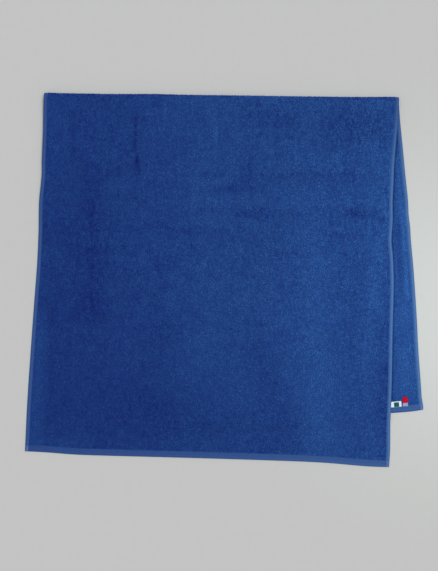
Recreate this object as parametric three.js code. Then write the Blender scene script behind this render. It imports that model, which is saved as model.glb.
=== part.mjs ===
// A bath towel of terry cloth, folded once near its middle and laid out flat.
//
// Millimetres, +Z up. +X runs along the fold, +Y from the end hems to the fold, and the
// origin is on the surface under the middle of the folded towel.
//
// The cloth is one sheet in one solid. Its back layer lies on the surface, the cloth turns
// over at the fold, and its front layer comes back over the back layer, a little apart from
// it. The two layers were not laid in line, so the back layer shows as a strip on the right,
// and the front layer's left and lower margins settle past it onto the surface.
import * as THREE from "three";

// Cloth, as cut and hemmed
const CUT_WIDTH = 650;
const CUT_LENGTH = 1240;
const FRONT_LENGTH = 662;
const PILE_THICKNESS = 3;
const HEM_THICKNESS = 2.2;
const SIDE_HEM = 7;
const END_HEM = 12;
const PILE_RISE = 3;
const EDGE_ROUND = 0.8;
const EDGE_THICKNESS = 1;

// How the layers lie
const LAYER_GAP = 2;
const FOLD_GAP = 4;
const FOLD_BULGE_REACH = 26;
const HEM_SETTLE = 1;
const HEM_SETTLE_REACH = 12;
const MARGIN_SETTLE_START = 3;
const MARGIN_SETTLE_END = 32;

// Fineness of the mesh
const COLUMN_STEP = 22;
const FRONT_STEP = 20;
const CREASED_STEP = 10;
const BACK_STEP = 48;
const TURN_STEPS = 6;

// The part of the front layer that has creases across it, as shares of the way from the
// fold to the end hem
const CREASED_FROM = 0.22;
const CREASED_TO = 0.42;

// Labels sewn into the back layer's end hem, with `turn` in degrees towards +Y
const LABEL_THICKNESS = 0.6;
const LABEL_CORNER = 0.6;
const LABEL_CLEARANCE = 0.3;
const WHITE_LABEL = { width: 24, height: 11.4, x: 311.3, y: -226.2, turn: 5, colour: "#e4e6e2" };
const RED_LABEL = { width: 11, height: 17.6, x: 329.5, y: -220.9, turn: 2.5, colour: "#c22a3c" };

const TOWEL_COLOUR = "#1f3f80";

// The layers' corners on the surface. Each edge wanders off the straight line between its
// corners: `at` is the share of the way along it, from the fold or from the left, and `off`
// is how far it stands towards +X, or towards +Y on the fold and the end hems.
const STRAIGHT = [
  { at: 0, off: 0 },
  { at: 1, off: 0 },
];

const FOLD_EDGE = [
  { at: 0, off: 0 },
  { at: 0.05, off: -1.1 },
  { at: 0.22, off: -1.7 },
  { at: 0.5, off: -1 },
  { at: 0.85, off: -1.2 },
  { at: 0.96, off: -0.6 },
  { at: 1, off: 0 },
];

const FRONT = {
  length: FRONT_LENGTH,
  foldLeft: { x: -326.2, y: 340 },
  foldRight: { x: 316.9, y: 332 },
  endLeft: { x: -361.5, y: -310.8 },
  endRight: { x: 299.2, y: -339.6 },
  leftEdge: [
    { at: 0, off: 0 },
    { at: 0.02, off: -0.9 },
    { at: 0.1, off: 0.2 },
    { at: 0.187, off: 1.2 },
    { at: 0.215, off: 3.3 },
    { at: 0.245, off: 2.8 },
    { at: 0.3, off: 1.2 },
    { at: 0.38, off: 3.1 },
    { at: 0.47, off: 3.6 },
    { at: 0.58, off: 2.7 },
    { at: 0.72, off: 0.7 },
    { at: 0.86, off: -0.6 },
    { at: 1, off: 0 },
  ],
  rightEdge: [
    { at: 0, off: 0 },
    { at: 0.06, off: -0.8 },
    { at: 0.17, off: -5 },
    { at: 0.24, off: -5.9 },
    { at: 0.28, off: -6.3 },
    { at: 0.33, off: -5.3 },
    { at: 0.385, off: -6.5 },
    { at: 0.43, off: -3 },
    { at: 0.5, off: -0.4 },
    { at: 0.65, off: 0 },
    { at: 0.75, off: 0.8 },
    { at: 0.96, off: 1.1 },
    { at: 1, off: 0 },
  ],
  endEdge: [
    { at: 0, off: 0 },
    { at: 0.05, off: -0.2 },
    { at: 0.14, off: -2 },
    { at: 0.23, off: -1.5 },
    { at: 0.36, off: 0 },
    { at: 0.54, off: 2.3 },
    { at: 0.76, off: 3.6 },
    { at: 0.84, off: 2.6 },
    { at: 0.93, off: 0.4 },
    { at: 1, off: 0 },
  ],
};

const BACK = {
  length: CUT_LENGTH - FRONT_LENGTH,
  foldLeft: FRONT.foldLeft,
  foldRight: FRONT.foldRight,
  endLeft: { x: -298, y: -262 },
  endRight: { x: 361.4, y: -235.4 },
  leftEdge: STRAIGHT,
  rightEdge: [
    { at: 0, off: 0 },
    { at: 0.06, off: -1 },
    { at: 0.15, off: 0 },
    { at: 0.25, off: 0.9 },
    { at: 0.33, off: 2 },
    { at: 0.37, off: 1 },
    { at: 0.41, off: 2 },
    { at: 0.45, off: 1.3 },
    { at: 0.55, off: 2 },
    { at: 0.72, off: 1.3 },
    { at: 0.79, off: 0 },
    { at: 0.94, off: -0.6 },
    { at: 0.974, off: -0.8 },
    { at: 0.982, off: 0.4 },
    { at: 1, off: 0 },
  ],
  endEdge: [
    { at: 0, off: 0 },
    { at: 0.3, off: -4 },
    { at: 0.6, off: -7 },
    { at: 0.8, off: -6 },
    { at: 0.92, off: -3.6 },
    { at: 0.97, off: -2.2 },
    { at: 1, off: 0 },
  ],
};

// Creases that the front layer kept from its packing. Each runs straight between two
// points, is soft across `spread`, and stands `rise` over the cloth, or under it.
const CREASES = [
  { name: "left trough, upper", x1: -241, y1: 205, x2: -241, y2: 85, spread: 13, rise: -1 },
  { name: "left trough, lower", x1: -241, y1: 62, x2: -240, y2: -60, spread: 16, rise: -0.6 },
  { name: "left ridge", x1: -205, y1: 160, x2: -200, y2: -40, spread: 20, rise: 0.6 },
  { name: "upper left crease", x1: -160, y1: 300, x2: -158, y2: 190, spread: 11, rise: -0.7 },
  { name: "upper crease", x1: 47, y1: 222, x2: 43, y2: 180, spread: 11, rise: -0.6 },
  { name: "cross ridge, left", x1: -215, y1: 160, x2: -120, y2: 158, spread: 11, rise: 0.7 },
  { name: "cross trough, top", x1: -25, y1: 166, x2: 70, y2: 164, spread: 9, rise: -0.8 },
  { name: "cross ridge", x1: -60, y1: 146, x2: 200, y2: 143, spread: 9, rise: 0.7 },
  { name: "cross ridge, right", x1: 200, y1: 143, x2: 285, y2: 140, spread: 9, rise: 0.9 },
  { name: "cross trough, middle", x1: 12, y1: 121, x2: 120, y2: 121, spread: 9, rise: -0.9 },
  { name: "cross trough, right", x1: 222, y1: 120, x2: 282, y2: 117, spread: 10, rise: -1 },
  { name: "cross trough, left", x1: -140, y1: 104, x2: -54, y2: 89, spread: 9, rise: -0.8 },
  { name: "cross trough, low", x1: -54, y1: 89, x2: 20, y2: 82, spread: 9, rise: -0.8 },
  { name: "cross trough, low right", x1: 66, y1: 91, x2: 122, y2: 88, spread: 9, rise: -0.6 },
  { name: "middle crease", x1: -111, y1: 15, x2: -110, y2: -120, spread: 14, rise: -0.5 },
  { name: "right ridge", x1: 140, y1: 60, x2: 138, y2: -260, spread: 34, rise: 0.7 },
  { name: "right trough", x1: 198, y1: 80, x2: 196, y2: -250, spread: 28, rise: -1 },
  { name: "right hem ridge", x1: 282, y1: 60, x2: 275, y2: -230, spread: 18, rise: 0.6 },
];

const lerp = THREE.MathUtils.lerp;

// Heights that follow from the sizes above
const STACK_HEIGHT = PILE_THICKNESS + LAYER_GAP;
const TURN_INSIDE = FOLD_GAP / 2;
const TURN_OUTSIDE = TURN_INSIDE + PILE_THICKNESS;
const FOLD_BULGE = FOLD_GAP - LAYER_GAP;

// 0 up to `from`, 1 past `to`, and a smooth step between them
function ease(value, from, to) {
  return THREE.MathUtils.smoothstep(value, from, to);
}

// A smooth curve through the rows of an edge's table, with the slope at each row taken
// from the rows on both sides of it
function wander(rows, at) {
  const last = rows.length - 1;
  const slope = (k) => {
    const a = rows[Math.max(k - 1, 0)];
    const b = rows[Math.min(k + 1, last)];
    return (b.off - a.off) / (b.at - a.at);
  };
  let k = 0;
  while (k < last - 1 && at > rows[k + 1].at) k += 1;
  const run = rows[k + 1].at - rows[k].at;
  const u = THREE.MathUtils.clamp((at - rows[k].at) / run, 0, 1);
  const step = u * u * (3 - 2 * u);
  const bend = u * (1 - u) * ((1 - u) * slope(k) - u * slope(k + 1)) * run;
  return lerp(rows[k].off, rows[k + 1].off, step) + bend;
}

// A layer's point on the surface, at share s across from the left and t from the fold to
// the end hem: the straight-sided patch between its corners, with each edge's wander
// fading out towards the edge across from it
function layerPoint(layer, s, t) {
  const between = (axis) =>
    lerp(
      lerp(layer.foldLeft[axis], layer.foldRight[axis], s),
      lerp(layer.endLeft[axis], layer.endRight[axis], s),
      t,
    );
  return {
    x: between("x") + lerp(wander(layer.leftEdge, t), wander(layer.rightEdge, t), s),
    y: between("y") + lerp(wander(FOLD_EDGE, s), wander(layer.endEdge, s), t),
  };
}

// How far a point lies outside the back layer, past its left edge or its end hem
function pastBackLayer(x, y) {
  const down = (BACK.foldLeft.y - y) / (BACK.foldLeft.y - BACK.endLeft.y);
  const left = lerp(BACK.foldLeft.x, BACK.endLeft.x, down);
  const across = (x - BACK.endLeft.x) / (BACK.endRight.x - BACK.endLeft.x);
  const end = lerp(BACK.endLeft.y, BACK.endRight.y, across) + wander(BACK.endEdge, across);
  return Math.max(left - x, end - y);
}

// Height of the creases at a point, each a bell curve across its line
function creaseHeight(x, y) {
  return CREASES.reduce((sum, c) => {
    const alongX = c.x2 - c.x1;
    const alongY = c.y2 - c.y1;
    const share = ((x - c.x1) * alongX + (y - c.y1) * alongY) / (alongX ** 2 + alongY ** 2);
    const u = THREE.MathUtils.clamp(share, 0, 1);
    const away = Math.hypot(x - c.x1 - u * alongX, y - c.y1 - u * alongY);
    return sum + c.rise * Math.exp(-((away / c.spread) ** 2));
  }, 0);
}

// Height of the front layer's underside over the surface
function frontHeight(x, y, s, t) {
  const fromSide = Math.min(s, 1 - s) * CUT_WIDTH;
  const fromFold = t * FRONT.length;
  const settled = HEM_SETTLE * Math.exp(-fromSide / HEM_SETTLE_REACH) * ease(t, 0, 0.1);
  const stacked = STACK_HEIGHT - settled + creaseHeight(x, y);
  const held = 1 - ease(pastBackLayer(x, y), MARGIN_SETTLE_START, MARGIN_SETTLE_END);
  const bulge = FOLD_BULGE * Math.exp(-((fromFold / FOLD_BULGE_REACH) ** 2));
  return Math.max(0, stacked * held + bulge);
}

// The cloth's thickness at a distance from an edge: a rounded edge, a flat hem, then pile
function thicknessFrom(distance, hem) {
  if (distance < EDGE_ROUND) return lerp(EDGE_THICKNESS, HEM_THICKNESS, distance / EDGE_ROUND);
  return lerp(HEM_THICKNESS, PILE_THICKNESS, ease(distance, hem, hem + PILE_RISE));
}

// The cloth's thickness, and how far its rounded edge lifts off the level of its underside
function clothAt(s, fromEnd) {
  const fromSide = Math.min(s, 1 - s) * CUT_WIDTH;
  const thickness = Math.min(thicknessFrom(fromSide, SIDE_HEM), thicknessFrom(fromEnd, END_HEM));
  return { thickness, lift: Math.max(0, (HEM_THICKNESS - thickness) / 2) };
}

// The two faces of the cloth at one place. The inner face is the one folded inside.
function frontFaces(s, t) {
  const cloth = clothAt(s, (1 - t) * FRONT.length);
  const p = layerPoint(FRONT, s, t);
  const y = p.y - TURN_OUTSIDE * (1 - t);
  const inner = frontHeight(p.x, y, s, t) + cloth.lift;
  return [
    new THREE.Vector3(p.x, y, inner),
    new THREE.Vector3(p.x, y, inner + cloth.thickness),
  ];
}

function backFaces(s, t) {
  const cloth = clothAt(s, (1 - t) * BACK.length);
  const p = layerPoint(BACK, s, t);
  const y = p.y - TURN_OUTSIDE * (1 - t);
  return [
    new THREE.Vector3(p.x, y, cloth.lift + cloth.thickness),
    new THREE.Vector3(p.x, y, cloth.lift),
  ];
}

// The turn at the fold is half a circle, from the top of the front layer (turned 0) to the
// underside of the back layer (turned 1). Its outer face reaches the fold line.
function turnFaces(s, turned) {
  const cloth = clothAt(s, Infinity);
  const p = layerPoint(FRONT, s, 0);
  const angle = Math.PI * (0.5 - turned);
  const innerTop = TURN_INSIDE + cloth.lift;
  const outerBottom = TURN_OUTSIDE - cloth.lift;
  const inner = lerp(innerTop, outerBottom - cloth.thickness, turned);
  const outer = lerp(innerTop + cloth.thickness, outerBottom, turned);
  return [inner, outer].map(
    (radius) =>
      new THREE.Vector3(
        p.x,
        p.y - TURN_OUTSIDE + radius * Math.cos(angle),
        TURN_OUTSIDE + radius * Math.sin(angle),
      ),
  );
}

// Evenly spaced values between two others, which are left out, no further apart than step
function between(from, to, step) {
  const count = Math.ceil(Math.abs(to - from) / step);
  return Array.from({ length: count - 1 }, (_, i) => lerp(from, to, (i + 1) / count));
}

// Where a hemmed edge needs lines of the mesh, as distances from it
const hemLines = (hem) => [0, EDGE_ROUND, hem, hem + PILE_RISE];

// Shares across the width: both side hems, and even columns between them
function columnShares() {
  const left = hemLines(SIDE_HEM).map((d) => d / CUT_WIDTH);
  const right = left.map((s) => 1 - s).reverse();
  return [...left, ...between(left.at(-1), right[0], COLUMN_STEP / CUT_WIDTH), ...right];
}

// Shares from the pile's edge at an end hem to that hem's edge
const endHemShares = (layer) => hemLines(END_HEM).map((d) => 1 - d / layer.length).reverse();

// Every cross row of the mesh, from the front layer's end hem over the fold to the back
// layer's, each a function of the share across
function crossRows() {
  const frontHem = endHemShares(FRONT);
  const backHem = endHemShares(BACK);
  const step = FRONT_STEP / FRONT.length;
  const front = [
    ...between(0, CREASED_FROM, step),
    CREASED_FROM,
    ...between(CREASED_FROM, CREASED_TO, CREASED_STEP / FRONT.length),
    CREASED_TO,
    ...between(CREASED_TO, frontHem[0], step),
    ...frontHem,
  ];
  const turn = [0, ...between(0, 1, 1 / TURN_STEPS), 1];
  const back = [...between(0, backHem[0], BACK_STEP / BACK.length), ...backHem];
  return [
    ...front.reverse().map((t) => (s) => frontFaces(s, t)),
    ...turn.map((turned) => (s) => turnFaces(s, turned)),
    ...back.map((t) => (s) => backFaces(s, t)),
  ];
}

// The closed sheet: a grid of points on each face, and walls round the cloth's four edges
function towelGeometry() {
  const columns = columnShares();
  const rows = crossRows();
  const width = columns.length;
  const right = width - 1;
  const last = rows.length - 1;
  const points = rows.flatMap((row) => columns.map((s) => row(s)));
  const inner = (j, i) => j * width + i;
  const outer = (j, i) => points.length + inner(j, i);
  const triangles = [];
  const quad = (a, b, c, d) => triangles.push(a, b, c, a, c, d);

  for (let j = 0; j < last; j += 1) {
    for (let i = 0; i < right; i += 1) {
      quad(outer(j, i), outer(j, i + 1), outer(j + 1, i + 1), outer(j + 1, i));
      quad(inner(j, i), inner(j + 1, i), inner(j + 1, i + 1), inner(j, i + 1));
    }
    quad(inner(j + 1, 0), inner(j, 0), outer(j, 0), outer(j + 1, 0));
    quad(inner(j, right), inner(j + 1, right), outer(j + 1, right), outer(j, right));
  }
  for (let i = 0; i < right; i += 1) {
    quad(inner(0, i), inner(0, i + 1), outer(0, i + 1), outer(0, i));
    quad(inner(last, i + 1), inner(last, i), outer(last, i), outer(last, i + 1));
  }

  const faces = [0, 1].flatMap((face) => points.map((pair) => pair[face]));
  const geometry = new THREE.BufferGeometry().setFromPoints(faces);
  geometry.setIndex(triangles);
  geometry.computeVertexNormals();
  return geometry;
}

// A flat woven label: a rectangle with softened corners, as thick as its folded tape
function labelGeometry({ width, height }) {
  const x = width / 2;
  const y = height / 2;
  const r = LABEL_CORNER;
  const outline = new THREE.Shape()
    .moveTo(-x + r, -y)
    .lineTo(x - r, -y)
    .quadraticCurveTo(x, -y, x, -y + r)
    .lineTo(x, y - r)
    .quadraticCurveTo(x, y, x - r, y)
    .lineTo(-x + r, y)
    .quadraticCurveTo(-x, y, -x, y - r)
    .lineTo(-x, -y + r)
    .quadraticCurveTo(-x, -y, -x + r, -y);
  return new THREE.ExtrudeGeometry(outline, {
    depth: LABEL_THICKNESS,
    curveSegments: 2,
    bevelEnabled: false,
  });
}

function clothMaterial(color, roughness) {
  return new THREE.MeshStandardMaterial({ color, roughness, metalness: 0 });
}

function makeTowel() {
  const towel = new THREE.Mesh(towelGeometry(), clothMaterial(TOWEL_COLOUR, 1));
  towel.name = "towel";
  return towel;
}

function makeLabel(name, label) {
  const mesh = new THREE.Mesh(labelGeometry(label), clothMaterial(label.colour, 0.7));
  mesh.name = name;
  mesh.position.set(label.x, label.y, PILE_THICKNESS + LABEL_CLEARANCE);
  mesh.rotation.z = THREE.MathUtils.degToRad(label.turn);
  return mesh;
}

// The whole part, moved so that the origin is under the middle of its bounding box
function makePart() {
  const pieces = new THREE.Group();
  pieces.add(makeTowel());
  pieces.add(makeLabel("label_white", WHITE_LABEL));
  pieces.add(makeLabel("label_red", RED_LABEL));
  const middle = new THREE.Box3().setFromObject(pieces).getCenter(new THREE.Vector3());
  pieces.position.set(-middle.x, -middle.y, 0);
  return new THREE.Group().add(pieces);
}

export default makePart();
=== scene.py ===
"""A bath towel of terry cloth, folded once near its middle and laid out flat.

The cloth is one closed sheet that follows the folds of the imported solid. Its loops, its
sewing and its two woven labels are pieces of their own, and a plain studio stands round
them. Lengths are in millimetres, and become metres where a mesh is made.
"""
import logging
import math
from dataclasses import dataclass
from dataclasses import field
from enum import Enum
from functools import cached_property

import bpy
import numpy as np
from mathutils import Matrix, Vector


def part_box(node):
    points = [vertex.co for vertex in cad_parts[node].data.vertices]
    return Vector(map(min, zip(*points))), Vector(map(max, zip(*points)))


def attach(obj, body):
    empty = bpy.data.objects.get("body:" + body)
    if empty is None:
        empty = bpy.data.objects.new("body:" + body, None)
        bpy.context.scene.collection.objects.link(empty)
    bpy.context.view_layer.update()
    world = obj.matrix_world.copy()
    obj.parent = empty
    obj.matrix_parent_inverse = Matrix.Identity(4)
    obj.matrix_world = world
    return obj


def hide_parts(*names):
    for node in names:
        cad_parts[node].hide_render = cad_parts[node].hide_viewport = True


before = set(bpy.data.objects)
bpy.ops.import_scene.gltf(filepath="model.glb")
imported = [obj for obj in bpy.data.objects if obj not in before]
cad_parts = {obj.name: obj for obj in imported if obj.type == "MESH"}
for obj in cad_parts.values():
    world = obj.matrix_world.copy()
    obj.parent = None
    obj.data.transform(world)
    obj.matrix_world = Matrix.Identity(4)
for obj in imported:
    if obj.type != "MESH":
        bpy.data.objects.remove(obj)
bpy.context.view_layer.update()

Array = np.ndarray
Object = bpy.types.Object
Material = bpy.types.Material
Tree = bpy.types.NodeTree
Socket = bpy.types.NodeSocket
LOG = logging.getLogger("towel")

MM = 0.001
BODY = "root"
TOWEL_NODE = "towel"

# The number of points along each side of a random lattice, before it repeats
NOISE_LATTICE = 331

# A Mix node's inputs for its two colours, and its output for the colour between them
COLOUR_A = 6
COLOUR_B = 7
MIXED = 2


def lerp(a: Array, b: Array, share: Array) -> Array:
    """Gives the value at a share of the way from a to b."""
    return a + (b - a) * share


def smooth_step(value: Array, start: float, end: float) -> Array:
    """Gives 3 u squared less 2 u cubed, u being the share from start to end, held in 0 to 1."""
    u = np.clip((value - start) / (end - start), 0, 1)
    return u * u * (3 - 2 * u)


def soft_noise(x: Array, y: Array, cell: float, seed: int) -> Array:
    """Works out smooth random values over a plane.

    Random values stand on a square lattice, and between its points they are blended
    both ways by a smooth step.

    Args:
        x: Places across.
        y: Places along.
        cell: The distance between points of the lattice.
        seed: Which of the random lattices it is.

    Returns:
        A value from -1 to 1 at each place.
    """
    lattice = np.random.default_rng(seed).uniform(-1, 1, (NOISE_LATTICE, NOISE_LATTICE))
    column = np.floor(x / cell).astype(int)
    row = np.floor(y / cell).astype(int)
    u = smooth_step(x / cell - column, 0, 1)
    v = smooth_step(y / cell - row, 0, 1)

    def corner(right: int, up: int) -> Array:
        """Gives the lattice's value at one corner of each place's cell."""
        return lattice[(row + up) % NOISE_LATTICE, (column + right) % NOISE_LATTICE]

    low = lerp(corner(0, 0), corner(1, 0), u)
    high = lerp(corner(0, 1), corner(1, 1), u)
    return lerp(low, high, v)


def linear(colour: str) -> tuple[float, float, float, float]:
    """Turns an sRGB hex colour into linear red, green, blue and alpha.

    Args:
        colour: The colour, such as #1f3f80.

    Returns:
        The four linear values.
    """
    srgb = np.array([int(colour[i : i + 2], 16) for i in (1, 3, 5)]) / 255
    rgb = np.where(srgb <= 0.04045, srgb / 12.92, ((srgb + 0.055) / 1.055) ** 2.4)
    return (*rgb.tolist(), 1.0)


def noise_scale(size: float) -> float:
    """Gives the Scale of a noise texture whose spots are a size in millimetres."""
    return 1 / (size * MM)


def wave_scale(period: float) -> float:
    """Gives the Scale of a wave texture, 20 to the radian, whose bands are a period apart."""
    return math.tau / 20 / (period * MM)


def add_node(
    tree: Tree,
    kind: str,
    settings: dict | None = None,
    links: dict | None = None,
) -> bpy.types.Node:
    """Adds one node to a material.

    Args:
        tree: The material's nodes.
        kind: The node's type, without ShaderNode before it.
        settings: Values by the name of a property, or by the name or number of an input.
        links: The output that feeds each input, by the input's name or number.

    Returns:
        The new node.
    """
    node = tree.nodes.new("ShaderNode" + kind)
    for name, value in (settings or {}).items():
        if isinstance(name, str) and hasattr(node, name):
            setattr(node, name, value)
        else:
            node.inputs[name].default_value = value
    for name, socket in (links or {}).items():
        tree.links.new(socket, node.inputs[name])
    return node


def make_mesh_object(
    name: str,
    points: Array,
    faces: list[Array],
    material: Material,
    values: dict[str, Array] | None = None,
    maps: dict[str, list[Array]] | None = None,
) -> Object:
    """Turns arrays into a smooth mesh, in metres, with its object at the origin.

    Args:
        name: The object's name.
        points: One row of three millimetre values for each point.
        faces: Arrays of point numbers, one row for each face, each array with faces of
            one number of sides.
        material: What it is made of.
        values: Named numbers, one for each point.
        maps: Named UV maps. Each has one array for each array of faces, with two
            values for every corner of every face.

    Returns:
        The new object.
    """
    corners = np.concatenate([array.ravel() for array in faces])
    sides = np.concatenate([np.full(len(array), array.shape[1]) for array in faces])
    mesh = bpy.data.meshes.new(name)
    mesh.vertices.add(len(points))
    mesh.vertices.foreach_set("co", (points * MM).astype(np.float32).ravel())
    mesh.loops.add(len(corners))
    mesh.loops.foreach_set("vertex_index", corners.astype(np.int32))
    mesh.polygons.add(len(sides))
    mesh.polygons.foreach_set("loop_start", (np.cumsum(sides) - sides).astype(np.int32))
    mesh.update(calc_edges=True)
    mesh.shade_smooth()
    for title, numbers in (values or {}).items():
        attribute = mesh.attributes.new(title, "FLOAT", "POINT")
        attribute.data.foreach_set("value", numbers.astype(np.float32).ravel())
    for title, arrays in (maps or {}).items():
        flat = np.concatenate([array.ravel() for array in arrays])
        layer = mesh.uv_layers.new(name=title)
        layer.uv.foreach_set("vector", flat.astype(np.float32))
    mesh.materials.append(material)
    made = bpy.data.objects.new(name, mesh)
    bpy.context.scene.collection.objects.link(made)
    return made


def join_towel(piece: Object) -> Object:
    """Lets a piece ride with the towel, and reports it.

    Args:
        piece: The new piece.

    Returns:
        The same piece.
    """
    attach(piece, BODY)
    LOG.info("%s: %d faces", piece.name, len(piece.data.polygons))
    return piece


# Shape of the folded cloth


@dataclass(frozen=True)
class Edge:
    """An edge of a layer, which wanders off the straight line between its corners.

    Each row has the share of the way along the edge, from the fold or from the left,
    and how far the edge stands off towards +X there, or towards +Y on a cross edge.
    """

    rows: tuple[tuple[float, float], ...] = ((0, 0), (1, 0))

    def off(self, along: Array) -> Array:
        """Works out how far the edge stands off its straight line.

        It is a cubic curve through the rows. Its slope at each row is that of the line
        between the rows on both sides of it.

        Args:
            along: Shares of the way along the edge.

        Returns:
            The distance at each share.
        """
        at, off = np.array(self.rows, float).T
        number = np.arange(len(at))
        before = np.maximum(number - 1, 0)
        after = np.minimum(number + 1, len(at) - 1)
        slope = (off[after] - off[before]) / (at[after] - at[before])
        k = np.clip(np.searchsorted(at, along) - 1, 0, len(at) - 2)
        run = at[k + 1] - at[k]
        u = np.clip((along - at[k]) / run, 0, 1)
        bend = u * (1 - u) * ((1 - u) * slope[k] - u * slope[k + 1]) * run
        return lerp(off[k], off[k + 1], smooth_step(u, 0, 1)) + bend


@dataclass(frozen=True)
class Layer:
    """One layer of the folded cloth, from the fold down to its end hem."""

    length: float
    fold_left: tuple[float, float]
    fold_right: tuple[float, float]
    end_left: tuple[float, float]
    end_right: tuple[float, float]
    left_edge: Edge
    right_edge: Edge
    end_edge: Edge
    fold_edge: Edge

    def place(self, s: Array, t: Array) -> tuple[Array, Array]:
        """Works out where the layer lies on the surface.

        It is the straight-sided patch between the corners, with each edge's wander
        fading out towards the edge across from it.

        Args:
            s: Shares across, from the left.
            t: Shares from the fold to the end hem.

        Returns:
            The places across and along.
        """
        x, y = (
            lerp(
                lerp(self.fold_left[axis], self.fold_right[axis], s),
                lerp(self.end_left[axis], self.end_right[axis], s),
                t,
            )
            for axis in (0, 1)
        )
        x = x + lerp(self.left_edge.off(t), self.right_edge.off(t), s)
        y = y + lerp(self.fold_edge.off(s), self.end_edge.off(s), t)
        return x, y


@dataclass(frozen=True)
class Crease:
    """A soft crease: a bell curve across a line through a few points.

    `rise` is how far it stands over the cloth, or under it, and its shade is painted light
    or shade: how much lighter or darker the loops are coloured along it, as light falls on
    the crease or misses it. It dies away over the length `fade` at both ends.
    """

    points: tuple[tuple[float, float], ...]
    spread: float
    rise: float
    # Painted light or shade along the crease
    shade: float = 0
    fade: float = 0

    def bell(self, x: Array, y: Array) -> Array:
        """Works out the bell curve: e to minus the square of distance over spread.

        With a fade, it is that times a smooth step of the length from the nearer end.

        Args:
            x: Places across.
            y: Places along.

        Returns:
            The curve, 1 on the line and 0 far from it.
        """
        nearest = np.full(np.shape(x), np.inf)
        along = np.zeros(np.shape(x))
        passed = 0.0
        for (x1, y1), (x2, y2) in zip(self.points, self.points[1:]):
            along_x = x2 - x1
            along_y = y2 - y1
            length = math.hypot(along_x, along_y)
            share = ((x - x1) * along_x + (y - y1) * along_y) / length**2
            u = np.clip(share, 0, 1)
            away = np.hypot(x - x1 - u * along_x, y - y1 - u * along_y)
            along = np.where(away < nearest, passed + u * length, along)
            nearest = np.minimum(nearest, away)
            passed += length
        bell = np.exp(-((nearest / self.spread) ** 2))
        if self.fade:
            bell = bell * smooth_step(np.minimum(along, passed - along), 0, self.fade)
        return bell


@dataclass(frozen=True)
class Hem:
    """A hem: how wide it is, how thick at each distance from the edge, and its seam."""

    width: float
    profile: tuple[tuple[float, float], ...]
    seam: float

    def thickness(self, distance: Array) -> Array:
        """Gives the thickness at distances from the edge, in straight steps of the profile."""
        return np.interp(distance, *np.array(self.profile, float).T)

    def lines(self) -> Array:
        """Gives the distances at which a mesh needs a line: each step, and halfway."""
        at = np.array(self.profile, float)[:, 0]
        return np.sort(np.concatenate([at, (at[1:] + at[:-1]) / 2]))


FOLD_EDGE = Edge(
    (
        (0, 0), (0.05, -0.8), (0.17, -1.2), (0.22, -1.1), (0.3, -0.4), (0.4, -1),
        (0.5, -1), (0.85, -1.2), (0.96, -0.4), (1, 0),
    )
)

FRONT = Layer(
    length=662,
    fold_left=(-326.2, 340),
    fold_right=(316.9, 332),
    end_left=(-361.5, -310.8),
    end_right=(299.2, -339.6),
    left_edge=Edge(
        (
            (0, 0), (0.02, -0.4), (0.1, 1.3), (0.187, 2.2), (0.215, 3.3), (0.245, 2.8),
            (0.3, 1.2), (0.38, 3.1), (0.47, 3.6), (0.58, 2.1), (0.72, 0.5),
            (0.86, -0.6), (1, 0),
        )
    ),
    right_edge=Edge(
        (
            (0, 0), (0.06, -0.8), (0.17, -5), (0.24, -5.9), (0.28, -6.3), (0.33, -5.3),
            (0.385, -6.5), (0.43, -3), (0.5, -0.4), (0.65, 0), (0.75, 0.8),
            (0.83, 0.5), (0.87, 0), (0.92, 0.8), (0.96, 1.1), (1, 0),
        )
    ),
    end_edge=Edge(
        (
            (0, 0), (0.05, -0.2), (0.14, -2), (0.23, -1.5), (0.36, 0), (0.54, 1.8),
            (0.76, 3.2), (0.84, 2.5), (0.93, -0.1), (0.97, -0.4), (1, 0),
        )
    ),
    fold_edge=FOLD_EDGE,
)

BACK = Layer(
    length=578,
    fold_left=FRONT.fold_left,
    fold_right=FRONT.fold_right,
    end_left=(-298, -262),
    end_right=(361.4, -235.4),
    left_edge=Edge(),
    right_edge=Edge(
        (
            (0, 0), (0.06, -0.6), (0.15, 0.3), (0.25, 1.2), (0.33, 2.3), (0.37, 1.3),
            (0.41, 2.3), (0.45, 1.8), (0.55, 2.4), (0.72, 1.1), (0.79, -0.3),
            (0.94, -1), (0.974, -1.2), (0.982, 0.2), (1, 0),
        )
    ),
    end_edge=Edge(
        ((0, 0), (0.3, -4), (0.6, -7), (0.8, -6), (0.92, -3.6), (0.97, -2.2), (1, 0))
    ),
    fold_edge=FOLD_EDGE,
)
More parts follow.
